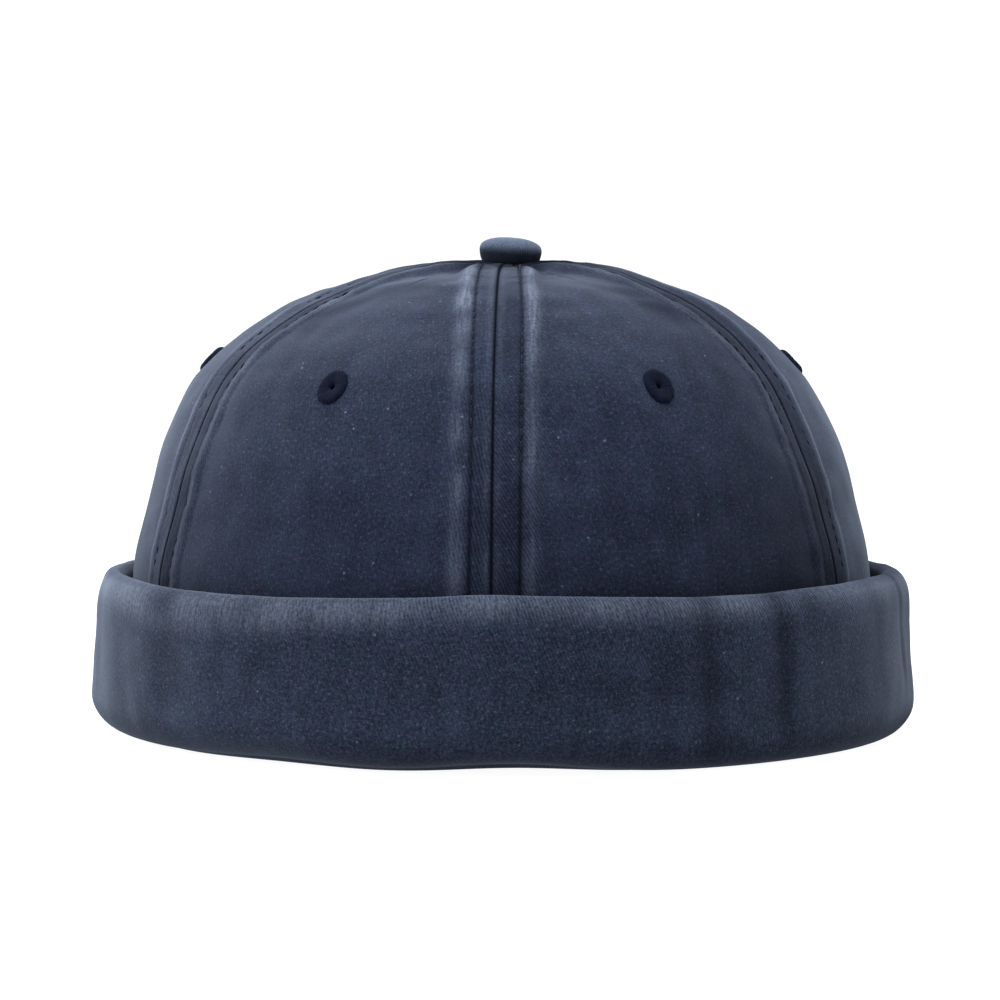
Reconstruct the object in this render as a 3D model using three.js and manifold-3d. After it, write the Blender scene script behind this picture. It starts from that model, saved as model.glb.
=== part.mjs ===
// A brimless sailor cap in washed cotton twill: six sewn panels, six stitched eyelets, a covered button
// and a cuff turned up all round. Millimetres, +Z up. The cap rests on the bottom of its cuff at z = 0,
// centred on the Z axis, with its front towards -Y and its right-hand side, seen from the front, at +X.
import * as THREE from "three";
import { mergeVertices } from "three/addons/utils/BufferGeometryUtils.js";
import Module from "manifold-3d";

const wasm = await Module();
wasm.setup();

// Crown: the outside of the cloth at the rim, the height of the cloth beside the button, and how far the
// soft top sits over to the right
const crownWidth = 178.2;
const crownDepth = 203;
const crownHeight = 110.2;
const crownLean = 2.2;
const crownWall = 1.6;

// Seams: the width of the pressed-open allowance on one side of a seam, how far it lifts the cloth,
// the slit that is left between two panels, and how far the seams pull the full panels in
const seamBand = 7.3;
const seamRise = 0.6;
const seamSlit = 0.3;
const seamPull = 1.4;

// Eyelets: satin-stitched rings through a punched hole
const eyeletRadius = 4.2;
const eyeletHole = 1.5;
const eyeletThread = 0.9;
const punchRadius = 2.7;

// Button: a domed cloth-covered disc on a hidden post with a flat head inside the crown
const buttonRadius = 7.5;
const buttonHeight = 5.7;
const buttonTilt = 3.5;
const postRadius = 1.5;
const postHeadRadius = 4.5;
const postHeadHeight = 0.8;
const socketDepth = 2.4;

// Cuff: one band of cloth, folded over at its top and turned under the crown's edge at its bottom
const cuffHeight = 38;
const cuffWall = 1.6;
const cuffStandOff = 2.4;
const cuffFold = 5.8;
const cuffFlare = 2.2;
const cuffRoll = 8;
const cuffHem = 12;
const cuffInnerFoot = 10;

// Fit: the clearance between pieces that touch in the real cap, in the cuff's hem and round the post
const seatGap = 0.3;
const hemGap = 0.6;
const postGap = 0.6;

// The crown's outline in front view, from its lower edge to the button: the height as a share of the
// crown's, and the half-width as a share of the half-width at the rim
const crownProfile = [
  { up: 0, out: 1 },
  { up: 0.17, out: 1 },
  { up: 0.34, out: 0.999 },
  { up: 0.468, out: 0.963 },
  { up: 0.559, out: 0.934 },
  { up: 0.65, out: 0.895 },
  { up: 0.74, out: 0.842 },
  { up: 0.786, out: 0.797 },
  { up: 0.831, out: 0.738 },
  { up: 0.877, out: 0.659 },
  { up: 0.922, out: 0.565 },
  { up: 0.967, out: 0.425 },
  { up: 0.992, out: 0.28 },
  { up: 0.9985, out: 0.13 },
  { up: 1, out: 0 },
];

// The six panels, anticlockwise from above: the direction of each one's middle in degrees from the
// front, and the height of its eyelet as a share of the crown's height
const panels = [
  { name: "front_right", turn: 30, eyelet: 0.747 },
  { name: "side_right", turn: 90, eyelet: 0.792 },
  { name: "back_right", turn: 150, eyelet: 0.747 },
  { name: "back_left", turn: 210, eyelet: 0.747 },
  { name: "side_left", turn: 270, eyelet: 0.792 },
  { name: "front_left", turn: 330, eyelet: 0.747 },
];

// The cloth beside a seam: the distance from the seam as a share of the seam band, and the lift there
// as a share of the seam's rise
const seamSection = [
  { across: 0, lift: 0.3 },
  { across: 0.15, lift: 1 },
  { across: 0.9, lift: 1 },
  { across: 1.15, lift: 0 },
];

// The round-edged disc of the button: shares of its radius and of its height
const buttonProfile = [
  { out: 0.55, up: 0 },
  { out: 0.8, up: 0.08 },
  { out: 0.95, up: 0.24 },
  { out: 1, up: 0.45 },
  { out: 0.96, up: 0.66 },
  { out: 0.84, up: 0.83 },
  { out: 0.6, up: 0.95 },
  { out: 0.3, up: 0.995 },
];

// Where the cuff's cloth is uneven: direction and spread in degrees from the front, and as shares of its
// fold how far it swells out, with minus for a dent, and how far its top and its foot stand higher
const cuffWaves = [
  { turn: -70, spread: 10, out: -0.08, top: -0.05, foot: 0 },
  { turn: -48, spread: 12, out: 0.04, top: -0.15, foot: 0.05 },
  { turn: -25, spread: 16, out: 0.08, top: 0, foot: 0.14 },
  { turn: 5, spread: 14, out: -0.04, top: 0.2, foot: 0.2 },
  { turn: 28, spread: 5, out: -0.1, top: -0.05, foot: 0 },
  { turn: 39, spread: 5, out: -0.12, top: -0.12, foot: 0 },
  { turn: 54, spread: 14, out: 0.3, top: 0.02, foot: 0 },
  { turn: 118, spread: 12, out: -0.1, top: 0.08, foot: 0.05 },
  { turn: 152, spread: 9, out: 0.1, top: 0, foot: 0 },
  { turn: 214, spread: 12, out: -0.1, top: -0.1, foot: 0.1 },
  { turn: 245, spread: 9, out: 0.08, top: 0, foot: 0 },
];

// Rows of a panel below and above the flat patch that its eyelet sits on, half that patch's height as a
// share of the way up the crown, and the columns of its middle, an even number
const rowsBelow = 8;
const rowsAbove = 6;
const patchReach = 0.034;
const panelMiddleColumns = 6;

// Steps round the cuff and through each of its bends, and sides of the round pieces
const cuffSteps = 60;
const bendSteps = 4;
const buttonSides = 20;
const eyeletSides = 12;
const punchSides = 16;

// How late the lean sets in towards the top, how close to its seams a panel is pulled in, and the most
// that a seam band takes of its half of a panel where the panel narrows
const leanPower = 10;
const pullPower = 4;
const bandLimit = 0.6;

const degrees = Math.PI / 180;
const sector = (360 / panels.length) * degrees;
const rimX = crownWidth / 2;
const rimY = crownDepth / 2;
const crownFoot = cuffWall + seatGap;
const seatEdge = seamRise + seatGap;

const navyCloth = new THREE.MeshStandardMaterial({ color: 0x2f3a50, roughness: 0.95, metalness: 0 });
const cuffCloth = new THREE.MeshStandardMaterial({ color: 0x2d3749, roughness: 0.95, metalness: 0 });
const navyThread = new THREE.MeshStandardMaterial({ color: 0x171c2b, roughness: 0.8, metalness: 0 });
const buttonCloth = new THREE.MeshStandardMaterial({ color: 0x3a465c, roughness: 0.85, metalness: 0 });
const plainSteel = new THREE.MeshStandardMaterial({ color: 0x9a9c9f, roughness: 0.35, metalness: 1 });

// A mesh through rings of points that run the same way round. A closed loft joins its last ring to its
// first. An open one is closed at each end by faces between the two halves of the ring.
function loft(rings, closed) {
  const count = rings[0].length;
  const faces = [];
  const steps = closed ? rings.length : rings.length - 1;
  for (let i = 0; i < steps; i++) {
    const here = i * count;
    const there = ((i + 1) % rings.length) * count;
    for (let j = 0; j < count; j++) {
      const k = (j + 1) % count;
      faces.push(here + j, there + j, there + k);
      faces.push(here + j, there + k, here + k);
    }
  }
  if (!closed) {
    const last = (rings.length - 1) * count;
    for (let j = 0; j < count / 2 - 1; j++) {
      const k = count - 1 - j;
      faces.push(j, j + 1, k - 1, j, k - 1, k);
      faces.push(last + j, last + k - 1, last + j + 1, last + j, last + k, last + k - 1);
    }
  }
  const corners = rings.flat().flatMap((p) => [p.x, p.y, p.z]);
  const geometry = new THREE.BufferGeometry();
  geometry.setAttribute("position", new THREE.Float32BufferAttribute(corners, 3));
  geometry.setIndex(faces);
  return geometry;
}

// A geometry as a solid that can be cut, and back
function toSolid(geometry) {
  const bare = geometry.clone();
  bare.deleteAttribute("normal");
  bare.deleteAttribute("uv");
  const merged = mergeVertices(bare, 1e-4);
  return new wasm.Manifold(
    new wasm.Mesh({
      numProp: 3,
      vertProperties: merged.attributes.position.array,
      triVerts: new Uint32Array(merged.index.array),
    }),
  );
}

function toGeometry(solid) {
  const mesh = solid.getMesh();
  const geometry = new THREE.BufferGeometry();
  geometry.setAttribute("position", new THREE.BufferAttribute(mesh.vertProperties, 3));
  geometry.setIndex(new THREE.BufferAttribute(mesh.triVerts, 1));
  geometry.computeVertexNormals();
  return geometry;
}

// Crown surface
const meridian = new THREE.SplineCurve(
  crownProfile.map((row) => {
    return new THREE.Vector2(row.out * rimX, crownFoot + row.up * (crownHeight - crownFoot));
  }),
);

// The share of the way along the meridian, from the lower edge, at which a test on it first holds
function riseWhere(holds) {
  let low = 0;
  let high = 1;
  for (let i = 0; i < 40; i++) {
    const middle = (low + high) / 2;
    if (holds(meridian.getPointAt(middle))) high = middle;
    else low = middle;
  }
  return high;
}

const riseAtHeight = (z) => riseWhere((p) => p.y >= z);
const riseAtRadius = (radius) => riseWhere((p) => p.x <= radius);

function smoothPoint(turn, rise) {
  const p = meridian.getPointAt(rise);
  const lean = crownLean * ((p.y - crownFoot) / (crownHeight - crownFoot)) ** leanPower;
  return new THREE.Vector3(p.x * Math.sin(turn) + lean, -p.x * (rimY / rimX) * Math.cos(turn), p.y);
}

function outward(turn, rise) {
  const step = 0.004;
  const along = smoothPoint(turn + step, rise).sub(smoothPoint(turn - step, rise));
  const top = Math.min(1, rise + step);
  const low = Math.max(0, rise - step);
  return along.cross(smoothPoint(turn, top).sub(smoothPoint(turn, low))).normalize();
}

// A point of the crown at a lift above the full surface, where the seams pull the cloth in by more the
// nearer they are and the wider the panel is, but not behind the cuff
function crownPoint(turn, rise, lift) {
  const p = meridian.getPointAt(rise);
  const fromMiddle = ((turn % sector) + sector) % sector;
  const nearSeam = Math.abs(fromMiddle / sector - 0.5) * 2;
  const aboveCuff = (p.y - cuffHeight) / (crownHeight - cuffHeight);
  const free = THREE.MathUtils.smoothstep(aboveCuff, 0, 0.5) * (p.x / rimX);
  const pull = seamPull * nearSeam ** pullPower * free;
  return smoothPoint(turn, rise).addScaledVector(outward(turn, rise), lift - pull);
}

// Panels
// The outer cloth of one row of a panel, from its right-hand seam to its left-hand one: the directions
// of its columns and how far each is lifted
function panelColumns(middle, rise) {
  const reach = meridian.getPointAt(rise).x;
  const perTurn = (turn) => Math.hypot(reach * Math.cos(turn), reach * (rimY / rimX) * Math.sin(turn));
  const edge = (side) => {
    const seam = middle + (side * sector) / 2;
    const speed = perTurn(seam);
    const band = Math.min(seamBand, (bandLimit * speed * sector) / 2);
    return seamSection.map((row) => ({
      turn: seam - (side * (seamSlit / 2 + row.across * band)) / speed,
      lift: row.lift * seamRise,
    }));
  };
  const right = edge(1);
  const left = edge(-1).reverse();
  const start = right.at(-1).turn;
  const end = left[0].turn;
  const between = [];
  for (let i = 1; i <= panelMiddleColumns; i++) {
    between.push({ turn: THREE.MathUtils.lerp(start, end, i / (panelMiddleColumns + 1)), lift: 0 });
  }
  return [...right, ...between, ...left];
}

// The rows of a panel, as shares of the way up the crown
function panelRises(eyeletRise) {
  const top = riseAtRadius(postRadius + postGap);
  const rises = [];
  for (let i = 0; i <= rowsBelow; i++) rises.push(((eyeletRise - patchReach) * i) / rowsBelow);
  for (let i = 0; i <= rowsAbove; i++) {
    rises.push(THREE.MathUtils.lerp(eyeletRise + patchReach, top, i / rowsAbove));
  }
  return rises;
}

function panelGeometry(middle, eyeletRise) {
  const rings = panelRises(eyeletRise).map((rise) => {
    const columns = panelColumns(middle, rise);
    const outer = columns.map((c) => crownPoint(c.turn, rise, c.lift));
    const inner = columns.map((c) => crownPoint(c.turn, rise, -crownWall));
    return [...outer, ...inner.reverse()];
  });
  const reach = 6 * crownWall;
  const punch = new THREE.CylinderGeometry(punchRadius, punchRadius, reach, punchSides);
  const place = eyeletPlace(middle, eyeletRise);
  return toGeometry(toSolid(loft(rings, false)).subtract(toSolid(punch.applyMatrix4(place))));
}

// Eyelets
// Stands a shape that was made round the Y axis on the flat patch at the middle of a panel, with its Y
// axis outward
function eyeletPlace(middle, eyeletRise) {
  const corners = [-1, 1].flatMap((side) => {
    const rise = eyeletRise + side * patchReach;
    const columns = panelColumns(middle, rise);
    const half = columns.length / 2;
    return [columns[half - 1], columns[half]].map((c) => crownPoint(c.turn, rise, c.lift));
  });
  const centre = new THREE.Vector3();
  for (const corner of corners) centre.addScaledVector(corner, 1 / corners.length);
  const [lowRight, lowLeft, highRight, highLeft] = corners;
  const across = highLeft.clone().sub(lowRight);
  const facing = across.cross(highRight.clone().sub(lowLeft)).normalize();
  if (facing.dot(centre) < 0) facing.negate();
  const turned = new THREE.Quaternion().setFromUnitVectors(new THREE.Vector3(0, 1, 0), facing);
  return new THREE.Matrix4().compose(centre, turned, new THREE.Vector3(1, 1, 1));
}

// The stitched ring wraps the edge of the punched hole, so it has a lip on either face of the cloth
function eyeletGeometry() {
  const neck = punchRadius - seatGap;
  const outerFace = seatGap + eyeletThread;
  const innerFace = -crownWall - seatGap - eyeletThread;
  const profile = [
    [eyeletHole, -crownWall],
    [(eyeletHole + neck) / 2, innerFace],
    [eyeletRadius - eyeletThread / 2, innerFace],
    [eyeletRadius, -crownWall - seatGap],
    [neck, -crownWall - seatGap],
    [neck, seatGap],
    [eyeletRadius, seatGap],
    [eyeletRadius - eyeletThread / 2, outerFace],
    [(eyeletHole + neck) / 2, outerFace],
    [eyeletHole, 0],
    [eyeletHole, -crownWall],
  ];
  return new THREE.LatheGeometry(
    profile.map(([x, y]) => new THREE.Vector2(x, y)),
    eyeletSides,
  );
}

// Button
const buttonDip = buttonProfile[0].out * buttonRadius * Math.tan(buttonTilt * degrees);
const buttonSeat = crownHeight + seamRise + seatGap + buttonDip;

function buttonGeometry() {
  const socketRadius = postRadius + seatGap + socketDepth * Math.tan(buttonTilt * degrees);
  const profile = [
    [0, socketDepth],
    [socketRadius, socketDepth],
    [socketRadius, 0],
    ...buttonProfile.map((row) => [row.out * buttonRadius, row.up * buttonHeight]),
    [0, buttonHeight],
  ];
  return new THREE.LatheGeometry(
    profile.map(([x, y]) => new THREE.Vector2(x, y)),
    buttonSides,
  ).rotateX(Math.PI / 2);
}

function postGeometry() {
  const seam = sector / 2 + sector * 2;
  const ceiling = crownPoint(seam, riseAtRadius(postHeadRadius), -crownWall).z;
  const headTop = ceiling - seatGap;
  const tip = buttonSeat + socketDepth - seatGap;
  const profile = [
    [0, headTop - postHeadHeight],
    [postHeadRadius, headTop - postHeadHeight],
    [postHeadRadius, headTop],
    [postRadius, headTop],
    [postRadius, tip],
    [0, tip],
  ];
  return new THREE.LatheGeometry(
    profile.map(([x, y]) => new THREE.Vector2(x, y)),
    buttonSides,
  ).rotateX(Math.PI / 2);
}

// Cuff
// The section is drawn with x as the distance out from the crown's outer face and y as the height
function arc(x, y, radius, from, to, steps) {
  const points = [];
  for (let i = 0; i <= steps; i++) {
    const angle = THREE.MathUtils.lerp(from, to, i / steps) * degrees;
    points.push(new THREE.Vector2(x + radius * Math.cos(angle), y + radius * Math.sin(angle)));
  }
  return points;
}

// The middle of the cuff's cloth: down inside the crown's edge as a hem, flat under that edge out to
// seatEdge, round the bottom roll, up the outside, over the top fold and down behind to a free end
function cuffMiddleLine() {
  const half = cuffWall / 2;
  const outerFace = cuffStandOff + cuffFold + cuffFlare;
  const foldHeight = cuffHeight - cuffFold / 2;
  const outside = new THREE.Vector2(
    outerFace - cuffFlare / 2 - half,
    (cuffRoll + foldHeight) / 2,
  );
  return [
    new THREE.Vector2(-crownWall - hemGap - half, cuffHem),
    ...arc(-crownWall - hemGap, cuffWall, half, 180, 270, 1),
    new THREE.Vector2(seatEdge, half),
    ...arc(outerFace - cuffRoll, cuffRoll, cuffRoll - half, 270, 360, bendSteps),
    outside,
    ...arc(cuffStandOff + cuffFold / 2, foldHeight, cuffFold / 2 - half, 0, 180, bendSteps),
    new THREE.Vector2(cuffStandOff + half, cuffInnerFoot),
  ];
}

// A line given its thickness, as a closed outline that runs anticlockwise
function thicken(line, thickness) {
  const sides = line.map((p, i) => {
    const before = line[Math.max(0, i - 1)];
    const after = line[Math.min(line.length - 1, i + 1)];
    const into = p.clone().sub(before).normalize();
    const out = after.clone().sub(p).normalize();
    const along = into.clone().add(out).normalize();
    const bend = Math.max(into.length() ? into.dot(along) : 0, out.length() ? out.dot(along) : 0);
    return new THREE.Vector2(along.y, -along.x).multiplyScalar(thickness / 2 / bend);
  });
  const right = line.map((p, i) => p.clone().add(sides[i]));
  const left = line.map((p, i) => p.clone().sub(sides[i]));
  return [...right, ...left.reverse()];
}

// How uneven the cuff is at a direction, in one column of its table
function cuffWave(turn, column) {
  const shares = cuffWaves.map((wave) => {
    const apart = (((turn / degrees - wave.turn) % 360) + 540) % 360 - 180;
    return wave[column] * Math.exp(-((apart / wave.spread) ** 2));
  });
  return cuffFold * shares.reduce((sum, share) => sum + share, 0);
}

function cuffPoint(turn, p) {
  const loose = THREE.MathUtils.smoothstep(p.x, seatEdge, cuffStandOff);
  const raised = THREE.MathUtils.smoothstep(p.y, 0, cuffRoll);
  const high = THREE.MathUtils.smoothstep(p.y, cuffRoll, cuffHeight);
  const out = p.x + cuffWave(turn, "out") * loose * raised;
  const up = p.y + loose * (high * cuffWave(turn, "top") + (1 - high) * cuffWave(turn, "foot"));
  const facing = new THREE.Vector2(Math.sin(turn) / rimX, -Math.cos(turn) / rimY).normalize();
  return new THREE.Vector3(
    rimX * Math.sin(turn) + out * facing.x,
    -rimY * Math.cos(turn) + out * facing.y,
    up,
  );
}

function cuffGeometry() {
  const section = thicken(cuffMiddleLine(), cuffWall);
  const rings = [];
  for (let i = 0; i < cuffSteps; i++) {
    const turn = (i / cuffSteps) * 360 * degrees;
    rings.push(section.map((p) => cuffPoint(turn, p)));
  }
  return loft(rings, true);
}

// Assembly
const cap = new THREE.Group();

function add(parent, name, geometry, material) {
  const mesh = new THREE.Mesh(geometry, material);
  mesh.name = name;
  parent.add(mesh);
  return mesh;
}

for (const panel of panels) {
  const middle = panel.turn * degrees;
  const rise = riseAtHeight(crownFoot + panel.eyelet * (crownHeight - crownFoot));
  add(cap, `panel_${panel.name}`, panelGeometry(middle, rise), navyCloth);
  const eyelet = add(cap, `eyelet_${panel.name}`, eyeletGeometry(), navyThread);
  eyelet.applyMatrix4(eyeletPlace(middle, rise));
}

add(cap, "cuff", cuffGeometry(), cuffCloth);
const post = add(cap, "button_post", postGeometry(), plainSteel);
post.position.x = crownLean;
const button = add(cap, "top_button", buttonGeometry(), buttonCloth);
button.rotation.y = buttonTilt * degrees;
button.position.set(crownLean, 0, buttonSeat);

export default cap;
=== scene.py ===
import functools
import math

import bpy
import numpy as np
from mathutils import Matrix, Vector


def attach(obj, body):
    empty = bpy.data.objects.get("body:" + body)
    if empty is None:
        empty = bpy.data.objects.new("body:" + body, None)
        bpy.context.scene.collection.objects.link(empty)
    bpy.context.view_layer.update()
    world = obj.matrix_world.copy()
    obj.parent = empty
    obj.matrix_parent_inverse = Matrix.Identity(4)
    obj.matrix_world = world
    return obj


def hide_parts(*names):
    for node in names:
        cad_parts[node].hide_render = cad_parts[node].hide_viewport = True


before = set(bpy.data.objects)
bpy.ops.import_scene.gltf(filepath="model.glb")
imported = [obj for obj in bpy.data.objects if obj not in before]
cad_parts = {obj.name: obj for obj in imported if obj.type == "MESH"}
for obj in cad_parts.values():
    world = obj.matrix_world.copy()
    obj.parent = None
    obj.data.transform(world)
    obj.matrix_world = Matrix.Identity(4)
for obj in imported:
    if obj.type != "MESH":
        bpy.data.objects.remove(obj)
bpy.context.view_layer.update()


def new_object(name, data):
    """An object that is linked to the scene."""
    made = bpy.data.objects.new(name, data)
    bpy.context.scene.collection.objects.link(made)
    return made


def aim(thing, target):
    """Turns a camera or a light towards a place."""
    thing.rotation_mode = "QUATERNION"
    thing.rotation_quaternion = (Vector(target) - thing.location).to_track_quat("-Z", "Y")


# Camera: a long lens a little above the cap and a touch to its right, looking slightly down.
# It stands 0.85 m away, so that the front of the cuff shows a little rounder than the crown.
camera_distance, camera_turn = 0.85, math.radians(1.3)
camera = new_object("camera", bpy.data.cameras.new("camera"))
bpy.context.scene.camera = camera
camera.data.lens = 125.9
camera.data.sensor_width = 36
camera.location = (camera_distance * math.sin(camera_turn), -camera_distance * math.cos(camera_turn), 0.105)
aim(camera, (-0.0005, 0, 0.053))

# Crown panels: six leaf-shaped gores of brushed cotton twill, sewn edge to edge from the rim to the button.
# Each allowance is pressed open and held by a row of stitches, so that every seam is a raised band with
# a groove down its middle. Washing wore the band's edges pale and left the grooves dark.
mm = 0.001
full_turn = 2 * math.pi
rim_x, rim_y = 89.1, 101.5
crown_foot, crown_top = 1.9, 110.2
crown_wall = 1.6
cuff_height = 38
crown_lean = 2.2
seam_pull, pull_power = 1.4, 4
seam_rise = 0.6
seam_zone = 12
stitch_pitch = 2.9
panel_top = 2.1
sector = math.radians(60)
tight_half = 6.3
facing_step = 0.004

# How far the rows of stitches run from each seam, on its right and on its left: the front one's are uneven
row_places = np.array([(6.15, 4.8), (5.1, 5.5), (5.4, 4.9), (5.0, 5.3), (5.5, 5.0), (5.3, 4.9)])
row_dark = np.array([0.62, 0.12, 0.4, 0.4, 0.4, 0.12])

# How deep each seam's stitches pull the cloth in
row_pull = np.array([0.2, 0.1, 0.2, 0.2, 0.2, 0.1])

# How dark each seam's band is marked, on its right and on its left: darkest at the two front side seams
band_dark = np.array([(0.24, 0.17), (0.5, 0.45), (0.24, 0.24), (0.24, 0.24), (0.24, 0.24), (0.45, 0.2)])

# The crown in front view: the height and the half-width as shares of the whole
crown_profile = [
    (0, 1), (0.17, 1), (0.34, 0.999), (0.468, 0.963), (0.559, 0.934), (0.65, 0.895), (0.74, 0.842),
    (0.786, 0.797), (0.831, 0.738), (0.877, 0.659), (0.922, 0.565), (0.967, 0.425), (0.992, 0.28),
    (0.9985, 0.13), (1, 0),
]

# Each panel's name and the direction of its middle in degrees from the front, then its eyelet's direction
# and height, how proud of the cloth it stands and how far it was pulled lengthwise
panels = [
    ("front_right", 30, 29.4, 0.749, 1, 1.07),
    ("side_right", 90, 90, 0.789, 3.4, 0.95),
    ("back_right", 150, 150, 0.747, 1, 1.07),
    ("back_left", 210, 210, 0.747, 1, 1.07),
    ("side_left", 270, 270, 0.789, 2.6, 0.95),
    ("front_left", 330, 331.0, 0.747, 1, 1.05),
]


def smooth_step(value, low, high):
    share = np.clip((value - low) / (high - low), 0, 1)
    return share * share * (3 - 2 * share)


def fade(value, low, high):
    return 1 - smooth_step(value, low, high)


def bump_at(value, middle, width):
    return np.exp(-(((value - middle) / width) ** 2))


def degrees_apart(turn, middle):
    """How far one direction in degrees is from another, from -180 to 180."""
    return (turn - middle + 180) % 360 - 180


def smooth_line(points, steps=300):
    """A smooth line through points, and how far along it each of its own points lies."""
    p = np.array(points, float)
    before = np.vstack([p[:1], p, p[-1:]])
    t = np.linspace(0, 1, steps, endpoint=False)[:, None]
    parts = []
    for a, b, c, d in zip(before[:-3], before[1:-2], before[2:-1], before[3:]):
        v, w = (c - a) / 2, (d - b) / 2
        parts.append((2 * b - 2 * c + v + w) * t**3 + (3 * c - 3 * b - 2 * v - w) * t**2 + v * t + b)
    line = np.vstack([*parts, p[-1:]])
    along = np.concatenate([[0], np.cumsum(np.linalg.norm(np.diff(line, axis=0), axis=1))])
    return line, along


meridian, meridian_along = smooth_line(
    [(out * rim_x, crown_foot + up * (crown_top - crown_foot)) for up, out in crown_profile]
)
meridian_length = meridian_along[-1]


def on_meridian(rise):
    """Distance from the middle and height, at a share of the way up the crown's outline."""
    along = rise * meridian_length
    return np.interp(along, meridian_along, meridian[:, 0]), np.interp(along, meridian_along, meridian[:, 1])


def front_arch(turn):
    """How far the foot of the cap stands off the floor, at a direction in degrees: two low arches."""
    apart = degrees_apart(turn, 0)
    return 0.75 * bump_at(apart, -31, 14) + 1.45 * bump_at(apart, 3, 13)


def full_crown(turn, rise):
    out, up = on_meridian(rise)
    lean = crown_lean * fade(out, panel_top, 8.5)
    up = up + front_arch(np.degrees(turn)) * fade(up, 2, 22)
    return np.stack([out * np.sin(turn) + lean, -out * (rim_y / rim_x) * np.cos(turn), up], -1)


def crown_facing(turn, rise):
    around = full_crown(turn + facing_step, rise) - full_crown(turn - facing_step, rise)
    above, below = np.minimum(1, rise + facing_step), np.maximum(0, rise - facing_step)
    upward = full_crown(turn, above) - full_crown(turn, below)
    facing = np.cross(around, upward)
    return facing / np.linalg.norm(facing, axis=-1, keepdims=True)


def crown_sag(spot):
    """How far the soft crown has sunk: in front of the button, and on its left and right shoulders."""
    x, y, z = np.moveaxis(spot, -1, 0)
    before_button = 1.3 * bump_at(x, crown_lean + 2, 8) * bump_at(y, -12, 9)
    left = 1.0 * bump_at(x, -34, 18) * smooth_step(z, 80, 100)
    far_right = 1.1 * bump_at(np.hypot(x - 74, z - 85), 0, 15)
    right = far_right + 0.6 * bump_at(x, 37, 12) * smooth_step(z, 92, 106)
    return before_button + left + right


def crown_point(turn, rise, lift):
    """A point of the crown at a lift above the cloth, which the seams pull in beside them."""
    out, up = on_meridian(rise)
    near_seam = np.abs((turn % sector) / sector - 0.5) * 2
    above_cuff = (up - cuff_height) / (crown_top - cuff_height)
    pull = seam_pull * near_seam**pull_power * smooth_step(above_cuff, 0, 0.5) * (out / rim_x)
    spot = full_crown(turn, rise)
    return spot + crown_facing(turn, rise) * (lift - pull - crown_sag(spot))[..., None]


def unevenness(points, length, seed, waves=24):
    """A soft random swell of about 1 either way, in waves of about this length."""
    chance = np.random.default_rng(seed)
    ways = chance.normal(size=(waves, points.shape[-1]))
    ways /= np.linalg.norm(ways, axis=1, keepdims=True)
    lengths = length * chance.uniform(0.65, 1.6, waves)
    turns = points @ (ways * (full_turn / lengths)[:, None]).T + chance.uniform(0, full_turn, waves)
    return np.sin(turns).sum(-1) / math.sqrt(waves / 2)


def spaced(start, end, spacing):
    """Places from start to end, each as far from the last as spacing says there."""
    places = [start]
    while places[-1] < end:
        places.append(places[-1] + spacing(places[-1]))
    return np.array([*places[:-1], end])


def stitch_row(seam, right, along):
    """How far from a seam its stitches run, on one side of it: they draw nearer towards the button."""
    low = np.where(right, row_places[seam, 0], row_places[seam, 1])
    wander = 0.09 * np.sin(along / 13 + seam * 1.7 + 2 * right)
    return low + (4.7 - low) * smooth_step(along, 100, 150) + wander


def seam_lift(across, row, pull):
    """How high the cloth lies at a distance from its seam, with its stitches pulling at another one."""
    band = seam_rise * fade(across, row + 2.4, row + 5.2)
    ridge = 0.1 * bump_at(across, row + 2.6, 1.7) + 0.05 * bump_at(across, 1.4, 0.9)
    return band + ridge - 0.34 * bump_at(across, 0, 0.3) - pull * bump_at(across, row, 0.75)


def loft(rings, closed):
    """Faces through rings of points, as four (ring, place) pairs each, whose numbers run on past the end."""
    count, size = rings.shape[:2]
    ring, place = np.meshgrid(np.arange(count if closed else count - 1), np.arange(size), indexing="ij")
    ring, place = ring.ravel(), place.ravel()
    return np.stack([ring, place, ring + 1, place, ring + 1, place + 1, ring, place + 1], 1).reshape(-1, 4, 2)


def make_piece(name, points, faces, cloth, marks, material):
    """A smooth piece of the object, whose cloth map and marks say how the weave runs, where it is worn and
    where it is marked dark, partly with painted shade.
    """
    mesh = bpy.data.meshes.new(name)
    mesh.from_pydata((points * mm).tolist(), [], faces.tolist())
    mesh.uv_layers.new(name="cloth").data.foreach_set("uv", cloth.astype(np.float32).ravel())
    for mark, values in marks.items():
        mesh.attributes.new(mark, "FLOAT", "POINT").data.foreach_set("value", values.astype(np.float32))
    mesh.shade_smooth()
    mesh.materials.append(material)
    piece = new_object(name, mesh)
    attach(piece, "root")
    return piece


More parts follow.
